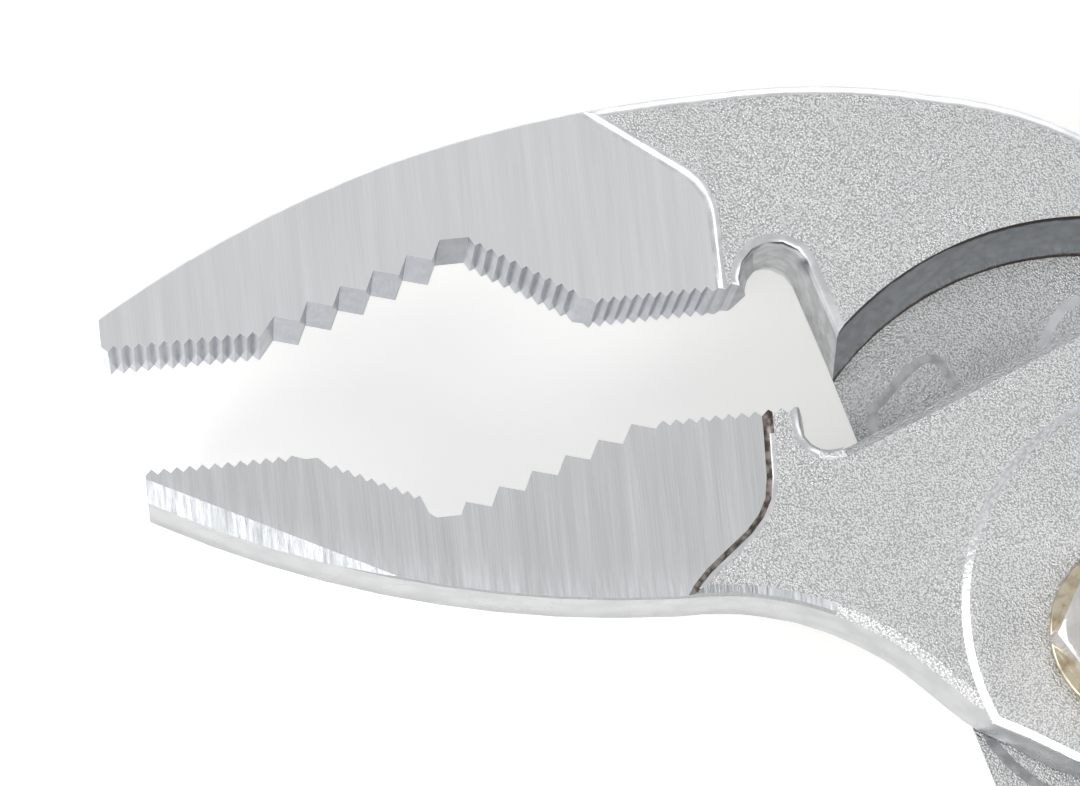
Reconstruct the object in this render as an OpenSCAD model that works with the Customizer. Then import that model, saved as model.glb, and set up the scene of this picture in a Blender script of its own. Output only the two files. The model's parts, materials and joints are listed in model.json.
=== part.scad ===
// Slip joint pliers: two forged halves on a double hole slip pivot.
// X runs along the tooth lines, jaw tips to minus X, handles to plus X.
// Y points to the upper jaw, Z to the front. Z is zero on the bolt head's face.

/* [Head] */
// jaw tip to pivot axis, the unit of the head's outline shares
head_l = 60; // [50:1:80]
// thickness of each forging
forging_t = 10; // [8:0.5:13]
// depth of the ground cheeks below the grained face
cheek_drop = 0.35; // [0.2:0.05:0.6]
// width of the smooth slope round a ground cheek
cheek_slope = 0.8; // [0.4:0.1:1.2]
// height of the raised round boss on the front half
boss_rise = 0.45; // [0.3:0.05:0.8]
// radius of the raised boss
boss_r = 13.9; // [13:0.1:14.4]
// height of the raised pad on the joint floor
pad_rise = 0.3; // [0.2:0.05:0.4]
// radius of the pad round the pivot
pad_r = 10.6; // [10:0.1:11]
// rounding of the forged edges
edge_r = 0.65; // [0.4:0.05:0.8]
// draft of the forged walls at the mid plane
wall_draft = 0.6; // [0.4:0.05:0.7]
// height of a jaw tooth
tooth_h = 0.35; // [0.25:0.05:0.45]
// length of one step of the pipe grip
step_run = 2.12; // [1.9:0.02:2.3]
// rise from one step to the next
step_rise = 0.75; // [0.6:0.05:0.9]
// dip of a step's long face
step_dip = 0.45; // [0.3:0.05:0.6]
// radius of the upper jaw's throat
throat_r = 1.5; // [1.2:0.1:1.8]
// radius of the notch at the lower jaw's heel
notch_r = 1.14; // [0.9:0.02:1.3]
// radius of the ground cheek's corner
cheek_r = 3.66; // [3.2:0.02:4]

/* [Handles] */
// length of the handles along the tool's axis
handle_l = 138; // [120:2:160]
// angle from the tooth lines to the tool's axis
handle_turn = -25; // [-28:1:-22]
// width of a handle
handle_w = 12.5; // [11:0.1:14]
// distance from the tool's axis to a handle's middle, where it is widest
handle_off = 28; // [26:0.5:30]
// rounding of the handles, seen in section
handle_round = 4; // [2.5:0.25:4.4]

/* [Pivot] */
// distance between the two pivot positions
slip_pitch = 5.6; // [5:0.1:6]
// direction of the slip, from the tooth lines
slip_turn = 105.2; // [103:0.2:107]
// radius of the bolt's shank
shank_r = 4.04; // [3.6:0.02:4.4]
// distance between the shank's two flats
flats_w = 5.6; // [5:0.1:5.8]
// radius of the joint's seat at its floor
seat_r = 19.35; // [19.1:0.05:19.6]
// how much wider the seat is at its mouth
seat_flare = 1.5; // [1:0.1:1.8]
// distance from the pivot axis to the front plate's straight edge
plate_edge = 16.74; // [16.4:0.02:17]
// radius of the bolt's thread
thread_r = 3; // [2.5:0.1:3.3]
// radius of the bolt's button head
bolt_head_r = 7; // [6:0.1:7.5]
// height of the bolt's button head
bolt_head_h = 2.4; // [2:0.1:3]
// outer radius of the friction washer
friction_r = 8; // [7.5:0.1:8.5]
// thickness of the friction washer
friction_t = 0.7; // [0.5:0.05:1]
// how far the washer reaches past the nut's flats
washer_lip = 0.67; // [0.6:0.01:1]
// thickness of the washer under the nut
washer_t = 0.6; // [0.4:0.05:1]
// nut size across its flats
nut_w = 10; // [9:0.1:10.5]
// height of the nut
nut_h = 4.2; // [3.5:0.1:5]

/* [Fits] */
// radial play of the shank in the slot and the friction washer
run_fit = 0.06; // [0.03:0.01:0.1]
// play of the shank's flats and thread in the front half, the washer and the nut
key_fit = 0.03; // [0.01:0.01:0.06]
// play between faces that slide on each other
slide_gap = 0.1; // [0.05:0.01:0.15]
// play between the seat's wall and the front plate in the narrow position
plate_fit = 0.87; // [0.8:0.01:1]
// play that the front half leaves outside the seat's wall for the neck
neck_fit = 1.95; // [1.8:0.05:2.2]

/* [Hidden] */
$fn = 96;
wide_fn = 180;
HL = head_l;
eps = head_l / 6000;
z_back = bolt_head_h + friction_t + 2 * slide_gap;
z_top = z_back + forging_t;
z_mid = z_back + forging_t / 2;
z_boss = z_top + boss_rise;
z_nut = z_boss + washer_t;
washer_r = nut_w / 2 + washer_lip;
slip = slip_pitch * [cos(slip_turn), sin(slip_turn)];

// Points on an arc from angle a to angle b.
function arc(c, r, a, b, n) =
    [for (i = [0:n]) let (t = a + (b - a) * i / n) c + r * [cos(t), sin(t)]];
function scaled(tab, s) = [for (p = tab) s * p];
function clampi(i, n) = i < 0 ? 0 : (i >= n ? n - 1 : i);
// A smooth curve through the points of p, k steps for each stretch.
function curve(p, k) = let (n = len(p)) concat([for (i = [0:n - 2], j = [0:k - 1])
    let (t = j / k, a = p[clampi(i - 1, n)], b = p[i], c = p[i + 1],
        d = p[clampi(i + 2, n)])
    0.5 * (2 * b + (c - a) * t + (2 * a - 5 * b + 4 * c - d) * t * t
        + (3 * b - a - 3 * c + d) * t * t * t)], [p[n - 1]]);
function unit(v) = v / norm(v);
// The way into the outline at point i of a counterclockwise ring.
function inward(p, i) = let (n = len(p), a = unit(p[(i + 1) % n] - p[i]),
    b = unit(p[i] - p[(i + n - 1) % n]), t = unit(a + b),
    m = 1 / max(0.75, t * a)) m * [-t[1], t[0]];
// Ring heights and insets: rows of [z, inset on the head, inset on a handle].
function oval(d) = let (b = min(d, handle_round) - handle_round)
    handle_round - sqrt(handle_round * handle_round - b * b);
function wall(d) = let (b = min(d, edge_r) - edge_r)
    edge_r - sqrt(edge_r * edge_r - b * b)
    + wall_draft * (1 - max(0, d - edge_r) / (forging_t / 2 - edge_r));
depth_shares = [0, 0.04, 0.13, 0.42];
half_t = forging_t / 2;
rings = concat([for (s = depth_shares) [z_back + s * half_t, wall(s * half_t),
    oval(s * half_t)]], [[z_mid, 0, 0]],
    [for (i = [0:3]) let (s = depth_shares[3 - i]) [z_top - s * half_t,
    wall(s * half_t), oval(s * half_t)]]);

// A solid between inset copies of the outline p; w mixes head and handle rows.
module loft(p, rows, w) {
    n = len(p);
    m = len(rows);
    ways = [for (i = [0:n - 1]) inward(p, i)];
    pts = [for (r = rows, i = [0:n - 1])
        let (q = p[i] + ways[i] * (r[1] * (1 - w[i]) + r[2] * w[i])) [q[0], q[1], r[0]]];
    sides = [for (k = [0:m - 2], i = [0:n - 1]) let (j = (i + 1) % n)
        each [[k * n + i, (k + 1) * n + i, (k + 1) * n + j],
        [k * n + i, (k + 1) * n + j, k * n + j]]];
    polyhedron(points = pts, faces = concat([[for (i = [0:n - 1]) i]], sides,
        [[for (i = [0:n - 1]) m * n - 1 - i]]));
}
// A row of n teeth from a to b: valleys set back by d, peaks on the line.
function row(a, b, n, d) = [for (i = [0:n - 1]) each [a + (b - a) * i / n + [0, d],
    a + (b - a) * (i + 0.5) / n]];
// A stair of n steps from a: each has its edge, then its long face dips to its foot.
function stair(a, n) = [for (i = [0:n - 1]) let (q = a + i * [step_run, step_rise])
    each [q, q + [step_flat_share * step_run, -step_dip]]];
function stair_end(a, n) = a + n * [step_run, step_rise];
step_flat_share = 0.73;
// Arcs from rows of [centre x, centre y, radius] shares and rows of [from, to, pieces].
function arcs(shares, turns) = [for (k = [0:len(shares) - 1])
    let (s = shares[k] * HL, t = turns[k]) each arc([s[0], s[1]], s[2], t[0], t[1], t[2])];
function flat_weight(p) = [for (q = p) 0];
// How far a point lies along the tool's axis, as 0 on the head to 1 on a handle.
function along(q) = q[0] * cos(handle_turn) + q[1] * sin(handle_turn);
function blend_weight(p) = [for (q = p) let (s = max(0, min(1,
    (along(q) - blend_from) / (blend_to - blend_from)))) s * s * (3 - 2 * s)];
blend_shares = [0.17, 0.36];
blend_from = handle_l * blend_shares[0];
blend_to = handle_l * blend_shares[1];

// Handle spines: [share of handle_l, share of handle_off, share of handle_w].
upper_spine_shares = [[0.2, 0.43, 1.05], [0.3, 0.68, 1], [0.435, 0.87, 1], [0.6, 0.97, 1],
    [0.77, 0.965, 1.02], [0.9, 0.91, 0.98], [0.957, 0.87, 0.93]];
lower_spine_shares = [[0.225, -0.82, 1.08], [0.305, -0.92, 1.02], [0.435, -1, 1], [0.6, -1.01, 1],
    [0.77, -0.975, 1.02], [0.9, -0.91, 0.98], [0.957, -0.88, 0.93]];
function spine(t) = [for (r = t) [r[0] * handle_l, r[1] * handle_off, r[2] * handle_w]];
upper_spine = spine(upper_spine_shares);
lower_spine = spine(lower_spine_shares);
function on_axis(u, v) = [u * cos(handle_turn) - v * sin(handle_turn),
    u * sin(handle_turn) + v * cos(handle_turn)];
// One edge of a handle: side is 1 for the upper edge and -1 for the lower one.
function edge(t, side) = let (n = len(t)) [for (i = [0:n - 1])
    let (a = t[clampi(i - 1, n)], b = t[clampi(i + 1, n)], d = unit([b[0] - a[0], b[1] - a[1]]))
    on_axis(t[i][0] - side * d[1] * t[i][2] / 2, t[i][1] + side * d[0] * t[i][2] / 2)];
// The round end of a handle, from its lower edge to its upper edge.
function tip_round(t) = let (n = len(t), a = t[n - 2], b = t[n - 1],
    c = on_axis(b[0], b[1]), k = atan2(b[1] - a[1], b[0] - a[0]) + handle_turn)
    arc(c, b[2] / 2, k - tip_half, k + tip_half, 10);
tip_half = 78;
function rev(p) = [for (i = [1:len(p)]) p[len(p) - i]];

// Rear half: the outline's places as shares of head_l, from the jaw's underside round the
// throat, the neck and the lower handle to the top.
rear_root_shares = [[-1.06, 0.34], [-0.373, 0.34]];
throat_share = [-0.329, 0.401];
rear_neck_shares = [[-0.28, 0.325], [-0.155, -0.13]];
rear_out_shares = [[-0.155, -0.13], [-0.13, -0.22], [-0.09, -0.315], [-0.025, -0.415],
    [0.055, -0.51]];
rear_in_shares = [[0.255, -0.31], [0.21, -0.2], [0.2, -0.1], [0.21, 0.02]];
top_arc_shares = [[-0.221, 0.152, 0.441], [-0.341, -0.215, 0.826], [-0.38, -0.771, 1.381],
    [-0.375, -0.676, 1.29]];
top_arc_turns = [[-3, 80, 20], [78.5, 90, 5], [92, 104, 6], [107, 122, 7]];
function tail(p) = [for (i = [1:len(p) - 1]) p[i]];
function rear_outline() = concat(
    scaled(rear_root_shares, HL),
    arc(throat_share * HL, throat_r, 200, 20, 7),
    scaled(rear_neck_shares, HL),
    tail(curve(concat(scaled(rear_out_shares, HL), edge(lower_spine, -1)), 3)),
    tip_round(lower_spine),
    curve(concat(rev(edge(lower_spine, 1)), scaled(rear_in_shares, HL)), 3),
    arcs(top_arc_shares, top_arc_turns));
// Its tooth line: tip teeth, five steps, a flat, teeth down a slope, heel teeth.
rear_tip_shares = [[-1.022, 0.3925], [-0.854, 0.3925]];
rear_stair_share = [-0.844, 0.412];
rear_flat_share = 0.03;
rear_slope_share = [-0.525, 0.397];
rear_heel_shares = [[-0.52, 0.3925], [-0.388, 0.3935], [-0.36, 0.3975]];
// The tooth cut ends inside the throat, at shares of the throat's radius from its centre.
rear_end_shares = [-0.8, -0.08];
rear_end = throat_share * HL + rear_end_shares * throat_r;
rear_floor_share = 0.2;
rear_cutter_shares = [[-1.2, rear_floor_share], [-1.2, 0.7], [-1.022, 0.7]];
rear_stair = rear_stair_share * HL;
rear_flat = stair_end(rear_stair, 5);
rear_flat_end = rear_flat + [rear_flat_share * HL, 0];
rear_heel = scaled(rear_heel_shares, HL);
rear_tooth_line = concat(
    row(rear_tip_shares[0] * HL, rear_tip_shares[1] * HL, 13, tooth_h),
    stair(rear_stair, 5), [rear_flat],
    row(rear_flat_end - [0, tooth_h], rear_slope_share * HL, 10, tooth_h),
    row(rear_heel[0], rear_heel[1], 11, tooth_h),
    row(rear_heel[1], rear_heel[2], 2, tooth_h / 2), [rear_end],
    [[rear_end[0], rear_floor_share * HL]],
    scaled(rear_cutter_shares, HL));
// The raised pad on the joint floor: round below, two lobes above.
pad_shares = [[0.145, 0.175], [0.09, 0.275], [0.04, 0.34], [-0.01, 0.36], [-0.04, 0.335],
    [-0.075, 0.275], [-0.11, 0.262], [-0.147, 0.283], [-0.157, 0.307], [-0.172, 0.314],
    [-0.19, 0.306], [-0.225, 0.274], [-0.237, 0.245], [-0.2, 0.095]];

// Front half: the outline's places as shares of head_l, from the belly along the neck and
// the upper handle to the plate's round, the notch and the jaw's upper side.
belly_shares = [[-0.401, 1.278, 1.207]];
belly_turns = [[238.2, 267, 10]];
front_low_shares = [[-0.433, 0.072], [-0.395, 0.068], [-0.355, 0.058], [-0.33, 0.049],
    [-0.3, 0.035], [-0.26, 0.01], [-0.23, -0.015], [-0.18, -0.065], [-0.15, -0.086],
    [-0.125, -0.102], [-0.085, -0.128], [0, -0.165], [0.07, -0.168], [0.14, -0.147],
    [0.225, -0.12], [0.335, -0.107]];
front_top_shares = [[0.39, 0.107], [0.315, 0.132], [0.255, 0.175], [0.205, 0.23],
    [0.14, 0.288], [0.065, 0.327], [-0.025, 0.335], [-0.11, 0.305], [-0.268, 0.242]];
notch_share = [-0.29, 0.248];
front_root_shares = [[-0.311, 0.33], [-1.06, 0.33]];
function front_outline() = concat(
    arcs(belly_shares, belly_turns),
    curve(concat(scaled(front_low_shares, HL), edge(upper_spine, -1)), 3),
    tip_round(upper_spine),
    curve(concat(rev(edge(upper_spine, 1)), scaled(front_top_shares, HL)), 3),
    arc(notch_share * HL, notch_r, -52, -175, 6),
    scaled(front_root_shares, HL));
// Its tooth line: tip teeth, a ledge, teeth down a slope, a pocket, six steps, heel teeth.
front_tip_shares = [[-0.99, 0.268], [-0.834, 0.268]];
front_ledge_shares = [[-0.827, 0.263], [-0.814, 0.263]];
front_slope_shares = [[-0.802, 0.2565], [-0.709, 0.2115]];
front_pocket_shares = [[-0.707, 0.195], [-0.7, 0.19], [-0.675, 0.19]];
front_stair_share = [-0.669, 0.203];
front_line_share = 0.266;
front_heel_shares = [[-0.318, 0.266], [-0.304, 0.265]];
front_cutter_shares = [[-0.304, 0.6], [-1.2, 0.6], [-1.2, 0.1], [-0.99, 0.1]];
front_stair = front_stair_share * HL;
front_heel = [stair_end(front_stair, 6)[0] - (1 - step_flat_share) * step_run,
    front_line_share * HL];
front_tooth_line = concat(
    row(front_tip_shares[0] * HL, front_tip_shares[1] * HL, 12, -tooth_h),
    scaled(front_ledge_shares, HL),
    row(front_slope_shares[0] * HL, front_slope_shares[1] * HL, 8, -tooth_h),
    scaled(front_pocket_shares, HL),
    stair(front_stair, 6),
    row(front_heel, front_heel_shares[0] * HL, 11, -tooth_h),
    [front_heel_shares[1] * HL],
    scaled(front_cutter_shares, HL));

// A ground cheek's cutter, on the front when up is 1 and on the back when it is 0.
module cheek_cut(p, up) {
    z = up * (z_top - z_back) + z_back;
    s = 2 * up - 1;
    drop = [[z + s * edge_r, -cheek_slope], [z, -cheek_slope * 0.6],
        [z - s * cheek_drop * 0.5, -cheek_slope * 0.25], [z - s * cheek_drop, cheek_slope * 0.2]];
    k = up == 1 ? [3, 2, 1, 0] : [0, 1, 2, 3];
    loft(p, [for (i = k) [drop[i][0], drop[i][1], 0]], flat_weight(p));
}
// The edges of the ground cheeks.
rear_cheek_low_shares = [[-1.3, 0.9], [-1.3, 0.2], [-0.3877, 0.2], [-0.3877, 0.3]];
cheek_round_share = [-0.449, 0.47];
rear_cheek_top_shares = [[-0.51, 0.593], [-0.62, 0.68], [-0.7, 0.9]];
rear_cheek = concat(scaled(rear_cheek_low_shares, HL),
    arc(cheek_round_share * HL, cheek_r, 0, 54, 7), scaled(rear_cheek_top_shares, HL));
front_cheek_shares = [[-0.356, 0.257], [-0.357, 0.22], [-0.362, 0.175], [-0.385, 0.143],
    [-0.43, 0.108], [-0.455, 0.077], [-0.46, 0.04]];
front_cheek_low_shares = [[-1.3, 0.5], [-1.3, -0.2], [-0.46, -0.2]];
front_cheek_top_share = [-0.356, 0.5];
front_cheek = concat(scaled(front_cheek_low_shares, HL),
    rev(curve(scaled(front_cheek_shares, HL), 2)), [front_cheek_top_share * HL]);

// One forging of the outline p, its tooth line cut and both cheeks ground.
module forging(p, teeth_line, cheek) {
    difference() {
        loft(p, rings, blend_weight(p));
        translate([0, 0, z_back - edge_r]) linear_extrude(forging_t + 2 * edge_r)
            polygon(teeth_line);
        cheek_cut(cheek, 1);
        cheek_cut(cheek, 0);
    }
}
module slot_cut() {
    r = shank_r + run_fit;
    z = z_back - edge_r;
    h = half_t + 2 * edge_r;
    translate([0, 0, z]) cylinder(h = h, r = r);
    translate([slip[0], slip[1], z]) cylinder(h = h, r = r);
    rotate([0, 0, slip_turn]) translate([0, -flats_w / 2 - run_fit, z])
        cube([slip_pitch, flats_w + 2 * run_fit, h]);
}
// The joint's seat in the rear half: a shallow cone round both pivot positions.
seat_share = [-0.0315, 0.085];
seat_slope = seat_flare / half_t;
module rear_half() {
    seat_z = z_mid - slide_gap / 2 - pad_rise;
    seat_h = z_top + edge_r - seat_z;
    ring = concat(arc([0, 0], pad_r, 210, 378, 16), curve(scaled(pad_shares, HL), 2));
    color([0.72, 0.73, 0.75]) difference() {
        translate([0, 0, z_back]) resize([0, 0, forging_t]) translate([0, 0, -z_back]) union() {
            difference() {
                forging(rear_outline(), rear_tooth_line, rear_cheek);
                translate([seat_share[0] * HL, seat_share[1] * HL, seat_z])
                    cylinder(h = seat_h, r1 = seat_r, r2 = seat_r + seat_slope * seat_h, $fn = wide_fn);
            }
            loft(ring, [[seat_z - edge_r, -pad_rise, 0], [seat_z, -pad_rise, 0],
                [seat_z + pad_rise, pad_rise, 0]], flat_weight(ring));
        }
        slot_cut();
    }
}
// The front half's plate lies in the seat, and its other parts keep clear of the neck.
under_r = seat_r + neck_fit;
plate_r = seat_r - plate_fit;
plate_flare_share = 0.75;
edge_turn = 21.6;
edge_lean = 20;
edge_band = edge_r * 1.2;
edge_shares = [-0.18, 0.32, 0.1];
trim_turn = 22;
trim_share = 0.45;
bevel_share = [-0.985, 0.2563];
bevel_shares = [0.1, 0.4, 0.2];
bevel_turn = -27;
bevel_lean = 24;
boss_share = [0.0595, 0.019];
boss_low_shares = [[-0.12, -0.09], [-0.08, -0.115], [-0.035, -0.138], [0.025, -0.151],
    [0.1, -0.146], [0.183, -0.12], [0.25, -0.103]];
boss_turns = [-28, 203];
boss_slope_share = 1.5;
key_depth_share = 0.6;
key_depth = half_t * key_depth_share;

module front_half() {
    low = z_mid + slide_gap / 2;
    boss = concat(arc(boss_share * HL, boss_r, boss_turns[0], boss_turns[1], 64),
        scaled(boss_low_shares, HL));
    color([0.76, 0.77, 0.79]) difference() {
        translate([0, 0, z_back]) resize([0, 0, z_boss - z_back])
            translate([0, 0, -z_back]) union() {
            difference() {
                forging(front_outline(), front_tooth_line, front_cheek);
                // room for the rear half's neck under the front plate
                translate([0, 0, z_back - edge_r])
                    cylinder(h = low - z_back + edge_r, r = under_r, $fn = wide_fn);
                plate_trim(low);
                tip_bevel();
            }
            loft(boss, [[z_top - edge_r, -boss_rise, 0], [z_top, -boss_rise, 0],
                [z_top + boss_rise * 0.6, 0, 0], [z_boss, boss_rise * boss_slope_share, 0]],
                flat_weight(boss));
        }
        key_cut(low);
    }
}
// Trims the front plate to the seat's cone, and its straight edge to the seat's end.
module plate_trim(low) {
    h = z_top + edge_r - low;
    top_r = plate_r + plate_flare_share * seat_slope * h;
    difference() {
        translate([0, 0, low - eps]) intersection() {
            cylinder(h = h, r = HL * trim_share);
            rotate([0, 0, trim_turn]) cube([HL, HL, h]);
        }
        translate([0, 0, low - 2 * eps]) cylinder(h = h + 3 * eps, r1 = plate_r, r2 = top_r,
            $fn = wide_fn);
    }
    rotate([0, 0, edge_turn]) translate([HL * edge_shares[0], plate_edge, low])
        rotate([-edge_lean, 0, 0]) translate([0, 0, -half_t / 3])
        cube([HL * edge_shares[1], HL * edge_shares[2], forging_t]);
    // a chamfer along the top of the straight edge
    top_y = plate_edge + (z_top - low) * tan(edge_lean);
    rotate([0, 0, edge_turn]) translate([HL * edge_shares[0], top_y - edge_band, z_top])
        rotate([-45, 0, 0]) translate([0, -edge_band, 0])
        cube([HL * edge_shares[1], half_t, half_t]);
}
module tip_bevel() {
    translate([bevel_share[0] * HL, bevel_share[1] * HL, z_top - cheek_drop])
        rotate([0, 0, bevel_turn]) rotate([bevel_lean, 0, 0])
        translate([-HL * bevel_shares[0], -HL * bevel_shares[2], 0])
        cube([HL * bevel_shares[1], HL * bevel_shares[2], half_t]);
}
// The seat of the shank's flats and, above it, the thread's bore.
module key_cut(low) {
    key_h = key_depth + key_fit;
    translate([0, 0, low - edge_r]) intersection() {
        cylinder(h = key_h + edge_r, r = shank_r + key_fit);
        rotate([0, 0, slip_turn]) translate([-HL, -flats_w / 2 - key_fit, -edge_r])
            cube([2 * HL, flats_w + 2 * key_fit, key_h + 3 * edge_r]);
    }
    translate([0, 0, low]) cylinder(h = forging_t, r = thread_r + key_fit);
}

// The bolt: button head at the back, shank with two flats, thread peened in the nut.
module pivot_bolt() {
    round_r = bolt_head_h * 0.8;
    key_top = z_mid + slide_gap / 2 + key_depth;
    end_z = z_nut + nut_h * 0.94;
    color([0.66, 0.67, 0.7]) {
        rotate_extrude() polygon(concat([[0, 0]],
            arc([bolt_head_r - round_r, round_r], round_r, -90, 0, 10),
            [[bolt_head_r, bolt_head_h], [0, bolt_head_h]]));
        translate([0, 0, bolt_head_h - eps]) intersection() {
            cylinder(h = key_top - bolt_head_h + eps, r = shank_r);
            rotate([0, 0, slip_turn]) translate([-HL, -flats_w / 2, 0])
                cube([2 * HL, flats_w, key_top]);
        }
        rotate_extrude() polygon([[0, key_top - eps], [thread_r, key_top - eps],
            [thread_r, end_z - thread_r * 0.2], [thread_r * 0.86, end_z], [0, end_z]]);
    }
}
module pivot_nut() {
    corner_r = nut_w / sqrt(3);
    bevel = corner_r - nut_w / 2 * 0.96;
    color([0.8, 0.79, 0.76]) translate([0, 0, z_nut]) difference() {
        intersection() {
            cylinder(h = nut_h, r = corner_r, $fn = 6);
            rotate_extrude() polygon([[0, 0], [corner_r, 0], [corner_r, nut_h - bevel * 0.55],
                [corner_r - bevel, nut_h], [0, nut_h]]);
        }
        translate([0, 0, -eps]) cylinder(h = nut_h + 2 * eps, r = thread_r + key_fit);
        translate([0, 0, nut_h * 0.86]) cylinder(h = nut_h * 0.14 + eps, r1 = thread_r + key_fit,
            r2 = thread_r * 1.32);
    }
}
module ring_plate(z, h, outer, inner, lip) {
    translate([0, 0, z]) rotate_extrude() polygon([[inner, 0], [outer - lip, 0], [outer, lip],
        [outer, h - lip], [outer - lip, h], [inner, h]]);
}
module nut_washer() {
    color([0.82, 0.77, 0.66]) ring_plate(z_boss, washer_t, washer_r, thread_r + key_fit,
        washer_t * 0.2);
}
module friction_washer() {
    color([0.6, 0.61, 0.63]) ring_plate(bolt_head_h + slide_gap, friction_t, friction_r,
        shank_r + run_fit, friction_t * 0.2);
}

rear_half();
front_half();
pivot_bolt();
pivot_nut();
nut_washer();
friction_washer();
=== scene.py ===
"""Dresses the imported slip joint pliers: forged grain, ground cheeks, polished pivot, studio."""

import json
import logging
import math
from collections.abc import Callable, Mapping
from dataclasses import dataclass, field
from enum import Enum

import bmesh
import bpy
from mathutils import Matrix, Vector

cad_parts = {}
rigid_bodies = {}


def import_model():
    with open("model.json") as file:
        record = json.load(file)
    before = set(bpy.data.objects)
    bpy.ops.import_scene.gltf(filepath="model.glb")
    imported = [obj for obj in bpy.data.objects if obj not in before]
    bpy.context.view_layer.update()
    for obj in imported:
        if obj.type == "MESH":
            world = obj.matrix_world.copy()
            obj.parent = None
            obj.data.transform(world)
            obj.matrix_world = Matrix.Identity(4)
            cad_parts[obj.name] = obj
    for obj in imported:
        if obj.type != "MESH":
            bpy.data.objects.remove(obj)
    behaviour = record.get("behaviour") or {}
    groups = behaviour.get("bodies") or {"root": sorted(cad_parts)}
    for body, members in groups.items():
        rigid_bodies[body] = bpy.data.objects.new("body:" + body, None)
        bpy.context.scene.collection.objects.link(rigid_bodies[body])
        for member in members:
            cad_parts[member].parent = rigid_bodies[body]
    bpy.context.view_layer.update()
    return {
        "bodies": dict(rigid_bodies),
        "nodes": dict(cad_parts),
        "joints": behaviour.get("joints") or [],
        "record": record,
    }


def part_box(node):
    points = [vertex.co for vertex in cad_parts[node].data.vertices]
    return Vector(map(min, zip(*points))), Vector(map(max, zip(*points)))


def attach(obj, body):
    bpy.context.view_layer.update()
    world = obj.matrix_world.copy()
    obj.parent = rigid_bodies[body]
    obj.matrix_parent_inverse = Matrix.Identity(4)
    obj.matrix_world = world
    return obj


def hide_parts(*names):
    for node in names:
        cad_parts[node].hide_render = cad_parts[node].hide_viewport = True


LOG = logging.getLogger("pliers")
MM = 0.001
# Jaw tip to pivot axis, which the round seat's place is a share of.
HEAD_LENGTH = 60 * MM

Color = tuple[float, float, float]
Place = tuple[float, float, float]
Span = tuple[float, float]
Socket = bpy.types.NodeSocket
Source = Socket | float | tuple[float, ...]
Sockets = Mapping[str, Socket]


class Surface(Enum):
    """The finishes that the pieces of the pliers wear, some with painted light or shade in their
    colour.
    """

    GRAIN = "forged_grain"
    # Grain with painted glints, on the rim below the neck.
    GLINT_EDGE = "painted_glint_edge"
    GROUND = "ground_cheek"
    GROUND_LOW = "ground_lower_cheek"
    BEVEL = "ground_bevel"
    LIP = "dull_lip"
    TOOTH_LIT = "milled_teeth_lit"
    TOOTH_SHADE = "milled_teeth_shade"
    BAND = "smooth_band"
    BELLY = "smooth_belly"
    RIM = "bright_rim"
    # Painted light on the rim along the plate's straight edge.
    LIT_PLATE_RIM = "painted_lit_plate_rim"
    RING = "boss_ring"
    # Painted highlight on the step down to the cheek.
    SLOPE_HIGHLIGHT = "cheek_slope"
    # Painted shade on the neck's wall.
    WALL = "painted_shade_wall"
    RECESS = "recess_wall"
    # Painted shade on the lower part of the step down to the cheek.
    CREASE = "painted_crease_shade"
    POLISH = "polished_nut"
    WARM = "warm_washer"
    TURNED = "turned_bolt"


# Finishes that end at a sharp line, so that the shading doesn't run over it.
CRISP = (Surface.RING, Surface.BEVEL)


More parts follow.
